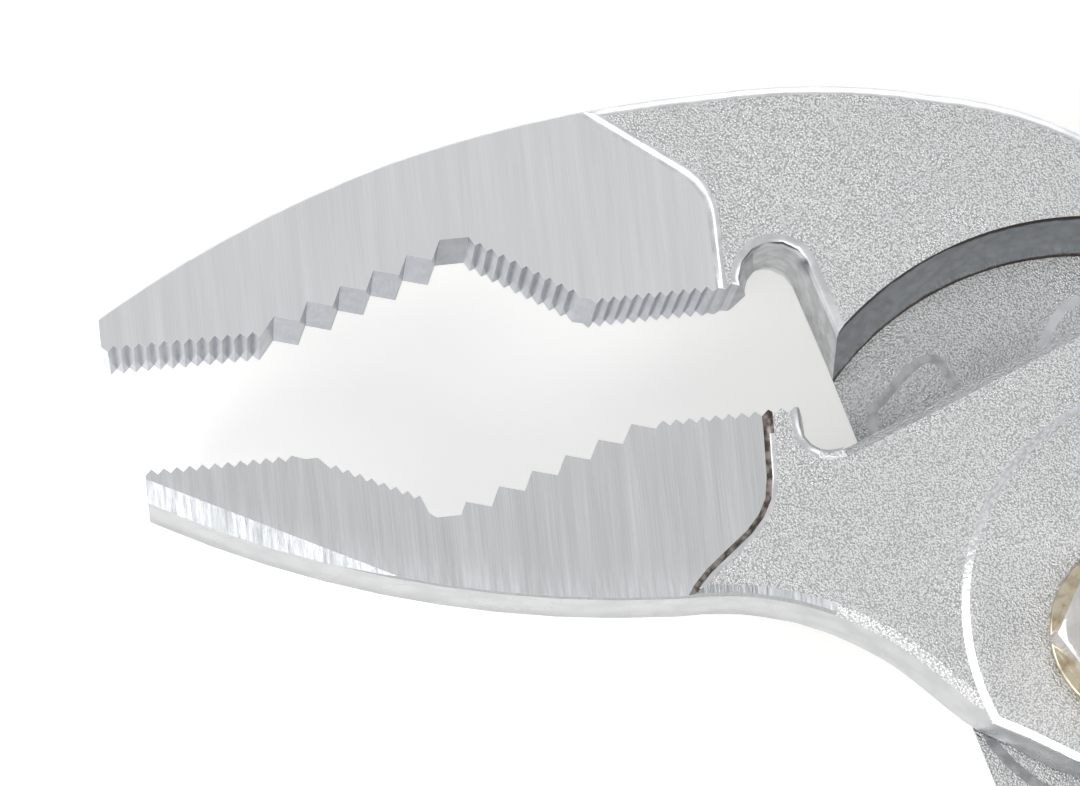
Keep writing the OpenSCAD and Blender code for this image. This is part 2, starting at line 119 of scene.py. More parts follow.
class Net:
    """A shader node tree that is being wired."""

    def __init__(self, tree: bpy.types.NodeTree) -> None:
        """Takes the tree to wire."""
        self.tree = tree

    def fill(self, node: bpy.types.Node, inputs: Mapping[str | int, Source]) -> None:
        """Sets or links a node's inputs.

        Args:
            node: the node.
            inputs: a value or another node's output for each named or numbered input.
        """
        for key, source in inputs.items():
            if isinstance(source, Socket):
                self.tree.links.new(source, node.inputs[key])
            else:
                node.inputs[key].default_value = source

    def add(self, kind: str, inputs: Mapping[str | int, Source], **settings: object) -> bpy.types.Node:
        """Adds a node and fills its inputs.

        Args:
            kind: the node's type, without the words ShaderNode.
            inputs: a value or another node's output for each named or numbered input.
            settings: the node's own options.

        Returns:
            The new node.
        """
        node = self.tree.nodes.new(f"ShaderNode{kind}")
        for option, value in settings.items():
            setattr(node, option, value)
        self.fill(node, inputs)
        return node

    def group(self, tree: bpy.types.NodeTree, inputs: Mapping[str, Source]) -> Sockets:
        """Places a shared group and gives its outputs."""
        return self.add("Group", inputs, node_tree=tree).outputs

    def object_place(self) -> Socket:
        """Gives the place in the object's own frame, in metres."""
        return self.add("TexCoord", {}).outputs["Object"]

    def split(self, place: Socket) -> Sockets:
        """Gives the X, Y and Z of a place."""
        return self.add("SeparateXYZ", {0: place}).outputs

    def join(self, parts: Mapping[str, Source]) -> Socket:
        """Gives the place that has these parts as its X, Y or Z, and zero for the others."""
        return self.add("CombineXYZ", parts).outputs[0]

    def calc(self, operation: str, *terms: Source) -> Socket:
        """Gives the result of a sum of one to three terms."""
        return self.add("Math", dict(enumerate(terms)), operation=operation).outputs[0]

    def noise(self, place: Socket, scale: Source, detail: float, rough: float = 0.5) -> Socket:
        """Adds a noise.

        Args:
            place: where it is read.
            scale: how many of its lumps fit in one unit of the place.
            detail: how many finer layers it has.
            rough: how strong each finer layer is.

        Returns:
            Its value, 0 to 1.
        """
        inputs = {"Vector": place, "Scale": scale, "Detail": detail, "Roughness": rough}
        return self.add("TexNoise", inputs).outputs["Fac"]

    def remap(self, value: Socket, span: tuple[Source, Source], to: Span = (0.0, 1.0),
              smooth: bool = False) -> Socket:
        """Maps one range of values to another, clamped at its ends.

        Args:
            value: the value to map.
            span: the range that it comes from.
            to: the range that it goes to.
            smooth: whether the map eases in and out.

        Returns:
            The mapped value.
        """
        inputs = {"Value": value, "From Min": span[0], "From Max": span[1],
                  "To Min": to[0], "To Max": to[1]}
        kind = "SMOOTHSTEP" if smooth else "LINEAR"
        return self.add("MapRange", inputs, interpolation_type=kind).outputs["Result"]

    def ramp(self, factor: Socket, low: Color, high: Color, span: Span = (0.0, 1.0)) -> Socket:
        """Blends two fixed colours along a factor.

        Args:
            factor: what the blend follows.
            low: colour at the span's start.
            high: colour at the span's end.
            span: the stretch of the factor over which the colour changes.

        Returns:
            The colour.
        """
        node = self.add("ValToRGB", {"Fac": factor})
        for stop, place, color in zip(node.color_ramp.elements, span, (low, high)):
            stop.position = place
            stop.color = (*color, 1)
        return node.outputs["Color"]

    def cover(self, color: Socket, over: Color, mask: Socket) -> Socket:
        """Lays a fixed colour over another where a mask is 1.

        Args:
            color: the colour below.
            over: the colour on top.
            mask: where the top colour shows.

        Returns:
            The blended colour.
        """
        node = self.add("Mix", {"Factor": mask, "A": color, "B": (*over, 1)}, data_type="RGBA")
        return node.outputs["Result"]


class Effect:
    """A shader node group that several finishes share, with named inputs and outputs."""

    name: str
    inputs: dict[str, float]
    outputs: tuple[str, ...]

    def wire(self, net: Net, given: Sockets) -> Sockets:
        """Wires the group's inside and gives what goes to each output."""
        raise NotImplementedError

    def build(self) -> bpy.types.NodeTree:
        """Builds the group.

        Returns:
            Its node tree.
        """
        tree = bpy.data.node_groups.new(self.name, "ShaderNodeTree")
        for key, value in self.inputs.items():
            made = tree.interface.new_socket(name=key, in_out="INPUT", socket_type="NodeSocketFloat")
            made.default_value = value
        for key in self.outputs:
            tree.interface.new_socket(name=key, in_out="OUTPUT", socket_type="NodeSocketFloat")
        given = tree.nodes.new("NodeGroupInput").outputs
        net = Net(tree)
        net.fill(tree.nodes.new("NodeGroupOutput"), self.wire(net, given))
        return tree


class Grain(Effect):
    """Pear skin grain of a blasted and plated forging."""

    name = "pear skin grain"
    inputs = {"Size mm": 0.42, "Contrast": 1.0}
    outputs = ("Height", "Fleck")
    turn = (0.61, 0.43, 0.87)
    detail = 4.0
    rough = 0.66
    cell_weight = -0.75
    fleck_span = (-0.22, 0.42)

    def wire(self, net: Net, given: Sockets) -> Sockets:
        """Wires noise less round cells, its lattice turned away from the object's axes.

        Args:
            net: the group's tree.
            given: the group's inputs.

        Returns:
            Height, the relief, and Fleck, 0 to 1.
        """
        place = net.object_place()
        turned = net.add("Mapping", {"Vector": place, "Rotation": self.turn}).outputs["Vector"]
        rate = net.calc("DIVIDE", 1 / MM, given["Size mm"])
        warp = net.noise(turned, rate, self.detail, self.rough)
        cells = net.add("TexVoronoi", {"Vector": turned, "Scale": rate}, feature="F1")
        mixed = net.calc("MULTIPLY_ADD", cells.outputs["Distance"], self.cell_weight, warp)
        return {"Height": net.calc("MULTIPLY", mixed, given["Contrast"]),
                "Fleck": net.remap(mixed, self.fleck_span)}


class Brush(Effect):
    """Straight grinding lines that run across the jaws, along Y."""

    name = "grinding lines"
    inputs = {"Line mm": 0.09, "Run mm": 7.0}
    outputs = ("Line", "Patch")
    line_detail = 4.0
    line_rough = 0.7
    patch_shares = (0.09, 0.5, 0.5)
    patch_detail = 3.0

    def wire(self, net: Net, given: Sockets) -> Sockets:
        """Wires a noise that is stretched along the lines, and a broader one.

        Args:
            net: the group's tree.
            given: the group's inputs.

        Returns:
            Line and Patch, both 0 to 1.
        """
        place = net.split(net.object_place())
        steps = {}
        for axis, width in (("X", "Line mm"), ("Y", "Run mm"), ("Z", "Run mm")):
            steps[axis] = net.calc("DIVIDE", place[axis], net.calc("MULTIPLY", given[width], MM))
        lines = net.join(steps)
        wide = net.add("VectorMath", {0: lines, 1: self.patch_shares}, operation="MULTIPLY")
        return {"Line": net.noise(lines, 1.0, self.line_detail, self.line_rough),
                "Patch": net.noise(wide.outputs[0], 1.0, self.patch_detail)}


class PaintedSeamShade(Effect):
    """Painted shade in the seams along two heights of a wall."""

    name = "painted seam shade"
    inputs = {"Low mm": 0.0, "High mm": 10.0, "Width mm": 0.15}
    outputs = ("Mask",)
    lump = 1.1 * MM
    detail = 4.0
    fade = 2.0

    def wire(self, net: Net, given: Sockets) -> Sockets:
        """Wires the distance to the nearer height against an uneven reach.

        Args:
            net: the group's tree.
            given: the group's inputs.

        Returns:
            Mask, 1 in the painted shade and 0 elsewhere.
        """
        place = net.object_place()
        height = net.calc("DIVIDE", net.split(place)["Z"], MM)
        gaps = [net.calc("SUBTRACT", height, given[key]) for key in ("Low mm", "High mm")]
        near = net.calc("MINIMUM", *(net.calc("ABSOLUTE", gap) for gap in gaps))
        reach = net.calc("MULTIPLY", net.noise(place, 1 / self.lump, self.detail), given["Width mm"])
        end = net.calc("MULTIPLY", reach, self.fade)
        return {"Mask": net.remap(near, (reach, end), (1.0, 0.0), smooth=True)}


class ArcBand(Effect):
    """Band that runs inside a round outline, seen from the front."""

    name = "band along an arc"
    inputs = {"Centre X mm": 0.0, "Centre Y mm": 0.0, "Radius mm": 10.0, "Width mm": 1.0}
    outputs = ("Mask",)

    def wire(self, net: Net, given: Sockets) -> Sockets:
        """Wires the distance inside the outline.

        Args:
            net: the group's tree.
            given: the group's inputs.

        Returns:
            Mask, 1 at the outline and 0 a band's width inside it.
        """
        place = net.split(net.object_place())
        steps = {}
        for axis in ("X", "Y"):
            along = net.calc("DIVIDE", place[axis], MM)
            steps[axis] = net.calc("SUBTRACT", along, given[f"Centre {axis} mm"])
        length = net.add("VectorMath", {0: net.join(steps)}, operation="LENGTH").outputs["Value"]
        inside = net.calc("SUBTRACT", given["Radius mm"], length)
        return {"Mask": net.remap(inside, (0.0, given["Width mm"]), (1.0, 0.0), smooth=True)}


class Wear(Effect):
    """Slow smudges of handling over a surface."""

    name = "handling wear"
    inputs = {"Size mm": 9.0}
    outputs = ("Smudge",)
    detail = 5.0
    rough = 0.6

    def wire(self, net: Net, given: Sockets) -> Sockets:
        """Wires a slow noise.

        Args:
            net: the group's tree.
            given: the group's inputs.

        Returns:
            Smudge, 0 to 1.
        """
        rate = net.calc("DIVIDE", 1 / MM, given["Size mm"])
        return {"Smudge": net.noise(net.object_place(), rate, self.detail, self.rough)}


Groups = dict[type[Effect], bpy.types.NodeTree]


@dataclass(frozen=True)
class Relief:
    """The pattern that a finish's colour, gloss and bump follow.

    Attributes:
        size_mm: width of one grain or line.
        bump_mm: height of the relief.
        strength: how strongly the light follows it.
    """

    size_mm: float
    bump_mm: float
    strength: float

    def place(self, net: Net, groups: Groups) -> tuple[Socket, Socket, Socket]:
        """Places the pattern and gives its height, its tint and its gloss."""
        raise NotImplementedError


@dataclass(frozen=True)
class Grained(Relief):
    """Grain, with slow smudges in its gloss.

    Attributes:
        contrast: what the relief's height is multiplied by.
        smudge_mm: size of the smudges.
    """

    contrast: float = 1.0
    smudge_mm: float = 9.0

    def place(self, net: Net, groups: Groups) -> tuple[Socket, Socket, Socket]:
        """Places the grain in a material.

        Args:
            net: the material's tree.
            groups: the shared node groups.

        Returns:
            Its height, its tint and its gloss.
        """
        grain = net.group(groups[Grain], {"Size mm": self.size_mm, "Contrast": self.contrast})
        smudge = net.group(groups[Wear], {"Size mm": self.smudge_mm})["Smudge"]
        return grain["Height"], grain["Fleck"], smudge


@dataclass(frozen=True)
class Brushed(Relief):
    """Grinding lines, with broad patches in their gloss.

    Attributes:
        run_mm: length of one line.
    """

    run_mm: float = 7.0

    def place(self, net: Net, groups: Groups) -> tuple[Socket, Socket, Socket]:
        """Places the lines in a material.

        Args:
            net: the material's tree.
            groups: the shared node groups.

        Returns:
            Their height, their tint and their gloss.
        """
        lines = net.group(groups[Brush], {"Line mm": self.size_mm, "Run mm": self.run_mm})
        return lines["Line"], lines["Line"], lines["Patch"]


@dataclass(frozen=True)
class SeamShade:
    """Painted shade: dark lines along the two borders of a wall, where shade falls in its seams.

    Attributes:
        low_mm: height of the lower border.
        high_mm: height of the upper border.
        width_mm: width of the painted shade.
        color: its colour.
    """

    low_mm: float
    high_mm: float
    width_mm: float
    color: Color = (0.075, 0.055, 0.04)

    def lay(self, net: Net, groups: Groups, under: Socket) -> Socket:
        """Lays the painted shade over a colour.

        Args:
            net: the material's tree.
            groups: the shared node groups.
            under: the colour below.

        Returns:
            The colour with the dirt.
        """
        inputs = {"Low mm": self.low_mm, "High mm": self.high_mm, "Width mm": self.width_mm}
        return net.cover(under, self.color, net.group(groups[PaintedSeamShade], inputs)["Mask"])


@dataclass(frozen=True)
class GlintStreaks:
    """Painted highlight: bright streaks that follow grinding lines across a band inside a round
    outline.

    Attributes:
        center_mm: X and Y of the outline's centre.
        radius_mm: the outline's radius.
        width_mm: width of the band.
        line_mm: width of a streak.
        run_mm: length of a streak.
        line_span: how strong a line is where its streak begins, and where it is full.
        color: the streaks' colour.
    """

    center_mm: Span
    radius_mm: float
    width_mm: float
    line_mm: float = 0.26
    run_mm: float = 3.5
    line_span: Span = (0.42, 0.66)
    color: Color = (0.93, 0.955, 0.98)

    def lay(self, net: Net, groups: Groups, under: Socket) -> Socket:
        """Lays the streaks over a colour.

        Args:
            net: the material's tree.
            groups: the shared node groups.
            under: the colour below.

        Returns:
            The colour with the streaks.
        """
        band = net.group(groups[ArcBand], {
            "Centre X mm": self.center_mm[0], "Centre Y mm": self.center_mm[1],
            "Radius mm": self.radius_mm, "Width mm": self.width_mm})
        lines = net.group(groups[Brush], {"Line mm": self.line_mm, "Run mm": self.run_mm})
        streaks = net.remap(lines["Line"], self.line_span)
        return net.cover(under, self.color, net.calc("MULTIPLY", band["Mask"], streaks))


@dataclass(frozen=True)
class Finish:
    """One plated or ground steel finish, which may carry painted light or shade in its colour.

    Attributes:
        surface: where it goes.
        low: its colour in the pattern's hollows.
        high: its colour on the pattern's crests.
        rough: its least and most roughness.
        relief: its pattern.
        extra: what lies over its colour, if anything.
        tint_span: the stretch of the tint over which the colour changes.
        gloss_span: the stretch of the gloss over which the roughness changes.
    """

    surface: Surface
    low: Color
    high: Color
    rough: Span
    relief: Relief
    extra: SeamShade | GlintStreaks | None = None
    tint_span: Span = (0.25, 0.75)
    gloss_span: Span = (0.3, 0.7)

    def build(self, groups: Groups) -> bpy.types.Material:
        """Makes the finish's material.

        Args:
            groups: the shared node groups.

        Returns:
            The material, its colour, roughness and relief driven by the pattern.
        """
        material = bpy.data.materials.new(self.surface.value)
        material.use_nodes = True
        net = Net(material.node_tree)
        height, tint, gloss = self.relief.place(net, groups)
        color = net.ramp(tint, self.low, self.high, self.tint_span)
        if self.extra:
            color = self.extra.lay(net, groups, color)
        bump = net.add("Bump", {"Strength": self.relief.strength, "Height": height,
                                "Distance": self.relief.bump_mm * MM})
        net.fill(net.tree.nodes["Principled BSDF"], {
            "Metallic": 1.0, "Base Color": color, "Normal": bump.outputs["Normal"],
            "Roughness": net.remap(gloss, self.gloss_span, self.rough)})
        return material


FINISHES = (
    Finish(Surface.GRAIN, (0.43, 0.431, 0.432), (0.74, 0.74, 0.738), (0.24, 0.34),
           Grained(size_mm=0.125, bump_mm=0.11, strength=0.75)),
    # Painted highlight: grain on the rim below the neck, painted brighter than the forged faces.
    Finish(Surface.GLINT_EDGE, (0.54, 0.54, 0.54), (0.96, 0.96, 0.96), (0.22, 0.30),
           Grained(size_mm=0.16, bump_mm=0.12, strength=0.8)),
    Finish(Surface.GROUND, (0.74, 0.745, 0.75), (0.84, 0.845, 0.85), (0.34, 0.42),
           Brushed(size_mm=0.06, bump_mm=0.02, strength=0.3)),
    Finish(Surface.GROUND_LOW, (0.62, 0.63, 0.635), (0.80, 0.81, 0.815), (0.28, 0.42),
           Brushed(size_mm=0.07, bump_mm=0.03, strength=0.35),
           # Painted highlight: bright streaks along the lower edge of the cheek.
           GlintStreaks(center_mm=(-24.06, 76.68), radius_mm=72.42, width_mm=3.4)),
    Finish(Surface.BEVEL, (0.20, 0.21, 0.22), (0.52, 0.53, 0.54), (0.26, 0.38),
           Brushed(size_mm=0.24, bump_mm=0.06, strength=0.6, run_mm=3.0)),
    Finish(Surface.LIP, (0.30, 0.31, 0.32), (0.44, 0.45, 0.46), (0.26, 0.36),
           Brushed(size_mm=0.16, bump_mm=0.03, strength=0.3, run_mm=2.0)),
    Finish(Surface.TOOTH_LIT, (0.29, 0.31, 0.36), (0.45, 0.48, 0.55), (0.18, 0.28),
           Brushed(size_mm=0.16, bump_mm=0.02, strength=0.2, run_mm=2.0)),
    Finish(Surface.TOOTH_SHADE, (0.11, 0.125, 0.155), (0.21, 0.235, 0.27), (0.18, 0.28),
           Brushed(size_mm=0.16, bump_mm=0.02, strength=0.2, run_mm=2.0)),
    Finish(Surface.BAND, (0.64, 0.65, 0.67), (0.76, 0.77, 0.79), (0.22, 0.30),
           Grained(size_mm=1.6, bump_mm=0.03, strength=0.08, contrast=0.5)),
    Finish(Surface.BELLY, (0.49, 0.497, 0.508), (0.56, 0.567, 0.575), (0.24, 0.32),
           Grained(size_mm=1.8, bump_mm=0.03, strength=0.06, contrast=0.4)),
    Finish(Surface.RIM, (0.70, 0.705, 0.72), (0.82, 0.825, 0.83), (0.22, 0.30),
           Grained(size_mm=1.4, bump_mm=0.03, strength=0.10, contrast=0.5)),
    # Painted light: the rim along the plate's straight edge is painted near white.
    Finish(Surface.LIT_PLATE_RIM, (0.86, 0.86, 0.86), (1.0, 1.0, 1.0), (0.30, 0.40),
           Grained(size_mm=0.16, bump_mm=0.12, strength=0.8)),
    Finish(Surface.RING, (0.78, 0.785, 0.80), (0.94, 0.945, 0.95), (0.22, 0.30),
           Grained(size_mm=0.3, bump_mm=0.05, strength=0.4)),
    # Painted highlight: the step down to the cheek is painted brighter than the forged faces.
    Finish(Surface.SLOPE_HIGHLIGHT, (0.72, 0.73, 0.75), (0.88, 0.885, 0.895), (0.22, 0.30),
           Grained(size_mm=1.0, bump_mm=0.03, strength=0.15)),
    # Painted shade: the neck's wall is painted darker than the forged faces.
    Finish(Surface.WALL, (0.40, 0.41, 0.42), (0.54, 0.55, 0.56), (0.20, 0.30),
           Grained(size_mm=0.9, bump_mm=0.05, strength=0.3, contrast=0.7)),
    Finish(Surface.RECESS, (0.44, 0.46, 0.475), (0.54, 0.565, 0.585), (0.20, 0.28),
           Grained(size_mm=0.9, bump_mm=0.03, strength=0.15, contrast=0.6),
           # Painted shade: dark lines along the recess wall's floor and top edges.
           SeamShade(low_mm=7.95, high_mm=13.3, width_mm=0.5)),
    # Painted shade: near black colour on the lower part of the step down to the cheek.
    Finish(Surface.CREASE, (0.09, 0.075, 0.065), (0.30, 0.27, 0.25), (0.40, 0.55),
           Grained(size_mm=0.5, bump_mm=0.06, strength=0.5)),
    Finish(Surface.POLISH, (0.78, 0.77, 0.75), (0.88, 0.87, 0.85), (0.10, 0.18),
           Grained(size_mm=1.2, bump_mm=0.02, strength=0.2, contrast=0.4)),
    Finish(Surface.WARM, (0.52, 0.42, 0.26), (0.76, 0.68, 0.52), (0.16, 0.28),
           Grained(size_mm=0.9, bump_mm=0.02, strength=0.2, contrast=0.5)),
    Finish(Surface.TURNED, (0.50, 0.51, 0.53), (0.70, 0.71, 0.73), (0.22, 0.34),
           Grained(size_mm=0.5, bump_mm=0.02, strength=0.3, contrast=0.5)),
)


@dataclass
class Workshop:
    """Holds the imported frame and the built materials, and makes dressed pieces.

    Attributes:
        frame: what the frame loader returned.
        merge: corners nearer than this are one, in metres.
        flat_deg: neighbouring faces that differ by less are one.
        corner_deg: sharper edges than this are rounded.
        round_steps: rows of faces across a rounded edge.
        round_shape: how full a rounded edge is, 0.5 for round.
        crease_deg: edges that turn more than this afterwards are shaded sharp.
        flat_weight: how much a big face outweighs its small neighbours in the shading.
        materials: each finish's material.
    """

    frame: dict
    merge: float = 0.001 * MM
    flat_deg: float = 0.6
    corner_deg: float = 38.0
    round_steps: int = 2
    round_shape: float = 0.5
    crease_deg: float = 32.0
    flat_weight: int = 100
    materials: dict[Surface, bpy.types.Material] = field(init=False)

    def __post_init__(self) -> None:
        """Builds every shared group and every finish."""
        groups = {effect: effect().build() for effect in (Grain, Brush, PaintedSeamShade, ArcBand, Wear)}
        self.materials = {finish.surface: finish.build(groups) for finish in FINISHES}

    def rounded(self, mesh: bpy.types.Mesh, edge: float) -> bmesh.types.BMesh:
        """Cleans a mesh and rounds its sharp edges.

        Args:
            mesh: the mesh to start from.
            edge: width of the rounding, in metres.

        Returns:
            The rounded shape.
        """
        work = bmesh.new()
        work.from_mesh(mesh)
        bmesh.ops.remove_doubles(work, verts=work.verts, dist=self.merge)
        bmesh.ops.dissolve_degenerate(work, dist=self.merge, edges=work.edges)
        bmesh.ops.dissolve_limit(work, angle_limit=math.radians(self.flat_deg), verts=work.verts,
                                 edges=work.edges)
        limit = math.radians(self.corner_deg)
        sharp = [e for e in work.edges if e.is_manifold and e.calc_face_angle(0.0) > limit]
        bmesh.ops.bevel(work, geom=sharp, offset=edge, offset_type="OFFSET", segments=self.round_steps,
                        profile=self.round_shape, affect="EDGES", clamp_overlap=True)
        return work

    def paint(self, work: bmesh.types.BMesh, pick: Callable[[Vector, Vector], Surface]) -> list[int]:
        """Gives each face its finish.

        Args:
            work: the shape.
            pick: gives the finish of a face from its centre and normal.

        Returns:
            The edges at which a crisp finish ends.
        """
        surfaces = list(self.materials)
        for face in work.faces:
            face.material_index = surfaces.index(pick(face.calc_center_median(), face.normal))
            face.smooth = True
        crisp = {surfaces.index(surface) for surface in CRISP}
        work.edges.index_update()
        return [e.index for e in work.edges
                if len({face.material_index in crisp for face in e.link_faces}) > 1]

    def dressed_copy(self, node: str, name: str, body: str, edge: float,
                     pick: Callable[[Vector, Vector], Surface]) -> bpy.types.Object:
        """Makes a smooth, edge rounded copy of a CAD node, with a finish for each face.

        Args:
            node: the CAD node it stands for.
            name: the new piece's name.
            body: the body it rides on.
            edge: rounding of its sharp edges, in metres.
            pick: gives the finish of a face from its centre and normal.

        Returns:
            The new object.
        """
        mesh = self.frame["nodes"][node].data.copy()
        mesh.name = name
        mesh.materials.clear()
        work = self.rounded(mesh, edge)
        borders = self.paint(work, pick)
        work.to_mesh(mesh)
        work.free()
        for material in self.materials.values():
            mesh.materials.append(material)
        mesh.set_sharp_from_angle(angle=math.radians(self.crease_deg))
        for index in borders:
            mesh.edges[index].use_edge_sharp = True
        piece = bpy.data.objects.new(name, mesh)
        bpy.context.scene.collection.objects.link(piece)
        flat = piece.modifiers.new("flat_faces_stay_flat", "WEIGHTED_NORMAL")
        flat.mode = "FACE_AREA"
        flat.weight = self.flat_weight
        flat.keep_sharp = True
        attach(piece, body)
        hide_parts(node)
        return piece


@dataclass(frozen=True)
class Face:
    """Where a face of a forging lies and which way it looks.

    Attributes:
        at: its centre.
        way: its normal.
        depth: how far it lies inside the forging's two flat sides, below zero on the raised boss.
        level: 1 where it lies flat, 0 where it stands upright.
        inward: how far it looks toward the other jaw, 1 for straight at it.
        in_jaw: whether it belongs to the jaw, and not to the neck or handle.
    """

    at: Vector
    way: Vector
    depth: float
    level: float
    inward: float
    in_jaw: bool


@dataclass
class Forging:
    """One half of the pliers: jaw, neck and handle in one forging, in metres.

    Attributes:
        tip: X of the jaw's end.
        back: Z of the back face.
        top: Z of the front face.
        node: the CAD node it stands for.
        name: the piece's name.
        body: the body it rides on.
        slot: the record's material slot, not used.
        facing: 1 if the other jaw lies toward +Y, and -1 if it lies toward -Y.
        cheek_edge: X where the ground cheek ends.
        tooth_y: lowest and highest Y of the tooth line.
        slope_x: first and last X of the step down to the cheek.
        edge: rounding of the sharp edges.
        cheek_drop: how far the cheek is ground below the forged face.
        cheek_slack: how far a cheek's face may lie off that depth.
        tip_margin: stretch beside the jaw's end that isn't toothed.
        handle_x: X beyond which all is handle.
        handle_y: Y below which all is handle.
        rim_depth: depth of the rounded rim along the outline.
        slope_start: depth at which the step down to the cheek begins.
        boss_rise: least height of the boss above the front face.
        flat_level: least level of the cheek's face.
        face_level: least level of the forged faces.
        ring_level: least level of the ring round the boss.
        slope_level: least level of the step down to the cheek.
        upright_level: most level of an upright wall, and least of a rim.
        tooth_turn: least inward look of a tooth's flank.
        slope_turn: least inward look of the step down to the cheek.
    """

    tip: float
    back: float
    top: float
    node: str
    name: str
    body: str
    slot: str
    facing: float
    cheek_edge: float
    tooth_y: Span
    slope_x: Span
    edge: float = 0.10 * MM
    cheek_drop: float = 0.35 * MM
    cheek_slack: float = 0.04 * MM
    tip_margin: float = 0.3 * MM
    handle_x: float = 24 * MM
    handle_y: float = -12 * MM
    rim_depth: float = 0.62 * MM
    slope_start: float = 0.02 * MM
    boss_rise: float = 0.01 * MM
    flat_level: float = 0.9
    face_level: float = 0.96
    ring_level: float = 0.3
    slope_level: float = 0.1
    upright_level: float = 0.15
    tooth_turn: float = -0.3
    slope_turn: float = -0.1

    @property
    def middle(self) -> float:
        """Z half way between the back and the front face."""
        return (self.back + self.top) / 2

    def rules(self) -> tuple[Callable[[Face], Surface | None], ...]:
        """Gives the rules that choose a finish, the first that holds before the rest."""
        raise NotImplementedError

    def pick(self, at: Vector, way: Vector) -> Surface:
        """Chooses the finish at a face.

        Args:
            at: the face's centre.
            way: the face's normal.

        Returns:
            The finish.
        """
        depth = (self.top - self.back) / 2 - abs(at.z - self.middle)
        face = Face(at, way, depth, abs(way.z), self.facing * way.y, at.x < self.cheek_edge)
        for rule in self.rules():
            found = rule(face)
            if found:
                return found
        return Surface.BAND

    def teeth(self, face: Face) -> Surface | None:
        """Finds the flanks of the teeth, which are lit on one side and in shade on the other.

        Args:
            face: the face.

        Returns:
            The finish there, or nothing elsewhere.
        """
        upright = face.level < self.upright_level and face.inward > self.tooth_turn
        past_tip = face.in_jaw and face.at.x > self.tip + self.tip_margin
        if upright and past_tip and self.tooth_y[0] < face.at.y < self.tooth_y[1]:
            return Surface.TOOTH_LIT if face.way.x < 0 else Surface.TOOTH_SHADE
        return None

    def is_cheek(self, face: Face) -> bool:
        """Tells whether a face is the cheek's ground face."""
        near = abs(face.depth - self.cheek_drop) < self.cheek_slack
        return face.in_jaw and near and face.level > self.flat_level

    def faces(self, face: Face) -> Surface | None:
        """Finds the flat forged faces."""
        return Surface.GRAIN if face.level > self.face_level else None

    def ring(self, face: Face) -> Surface | None:
        """Finds the slope round the boss."""
        return Surface.RING if face.depth < -self.boss_rise and face.level > self.ring_level else None

    def is_slope(self, face: Face) -> bool:
        """Tells whether a face is on the step down to the cheek.

        Args:
            face: the face.

        Returns:
            True on the step.
        """
        if face.way.x >= 0 or face.inward <= self.slope_turn or face.level <= self.slope_level:
            return False
        in_depth = self.slope_start < face.depth < self.cheek_drop
        return in_depth and self.slope_x[0] < face.at.x < self.slope_x[1]

    def handle(self, face: Face) -> Surface | None:
        """Finds the handle."""
        return Surface.GRAIN if face.at.x > self.handle_x or face.at.y < self.handle_y else None

    def is_rim(self, face: Face) -> bool:
        """Tells whether a face is on the rounded rim along the outline."""
        return face.depth < self.rim_depth and face.level > self.upright_level

    def build(self, shop: Workshop) -> bpy.types.Object:
        """Builds the dressed half from the workshop's frame and materials."""
        return shop.dressed_copy(self.node, self.name, self.body, self.edge, self.pick)


@dataclass
class RearHalf(Forging):
    """Upper jaw, slotted neck with the round seat, and lower handle, in metres.

    Attributes:
        seat_center_shares: the seat's centre, as shares of the head's length.
        seat_radius: its radius at the floor.
        seat_flare: how much wider it gets for each metre up.
        seat_depth: how far its floor lies below the middle.
        seat_margin: how far below the middle its wall is still looked for.
        seat_end: X beyond which its wall isn't looked for.
        seat_slack: how far a face may lie off its cone.
        neck_x: X where the neck's dark wall ends.
        neck_y: Y where the neck's dark wall ends.
    """

    node: str = "rear_half"
    name: str = "upper_jaw_lower_handle"
    body: str = "rear_half"
    slot: str = "rear_forging"
    facing: float = -1.0
    cheek_edge: float = -20.8 * MM
    tooth_y: Span = (23.0 * MM, 28.6 * MM)
    slope_x: Span = (-31 * MM, -22.6 * MM)
    seat_center_shares: Span = (-0.0315, 0.085)
    seat_radius: float = 19.35 * MM
    seat_flare: float = 0.3
    seat_depth: float = 0.35 * MM
    seat_margin: float = 0.45 * MM
    seat_end: float = 12.5 * MM
    seat_slack: float = 0.25 * MM
    neck_x: float = -4 * MM
    neck_y: float = 26 * MM

    def rules(self) -> tuple[Callable[[Face], Surface | None], ...]:
        """Gives the rules in their order."""
        return (self.teeth, self.cheek, self.faces, self.ring, self.slope, self.seat, self.handle,
                self.rim, self.neck)

    def cheek(self, face: Face) -> Surface | None:
        """Finds the ground cheek."""
        return Surface.GROUND if self.is_cheek(face) else None

    def slope(self, face: Face) -> Surface | None:
        """Finds the step down to the cheek, painted bright as a highlight."""
        return Surface.SLOPE_HIGHLIGHT if self.is_slope(face) else None

    def seat(self, face: Face) -> Surface | None:
        """Finds the wall of the round seat, which leans outward.

        Args:
            face: the face.

        Returns:
            The finish of the wall, or nothing elsewhere.
        """
        if face.at.z <= self.middle - self.seat_margin or face.at.x >= self.seat_end:
            return None
        center = Vector([share * HEAD_LENGTH for share in self.seat_center_shares])
        wall = self.seat_radius + self.seat_flare * (face.at.z - (self.middle - self.seat_depth))
        return Surface.RECESS if abs((face.at.xy - center).length - wall) < self.seat_slack else None

    def rim(self, face: Face) -> Surface | None:
        """Finds the bright rim."""
        return Surface.RIM if self.is_rim(face) else None

    def neck(self, face: Face) -> Surface | None:
        """Finds the neck's wall between the throat and the seat, painted dark as shade."""
        placed = self.cheek_edge < face.at.x < self.neck_x and face.at.y < self.neck_y
        return Surface.WALL if placed else None


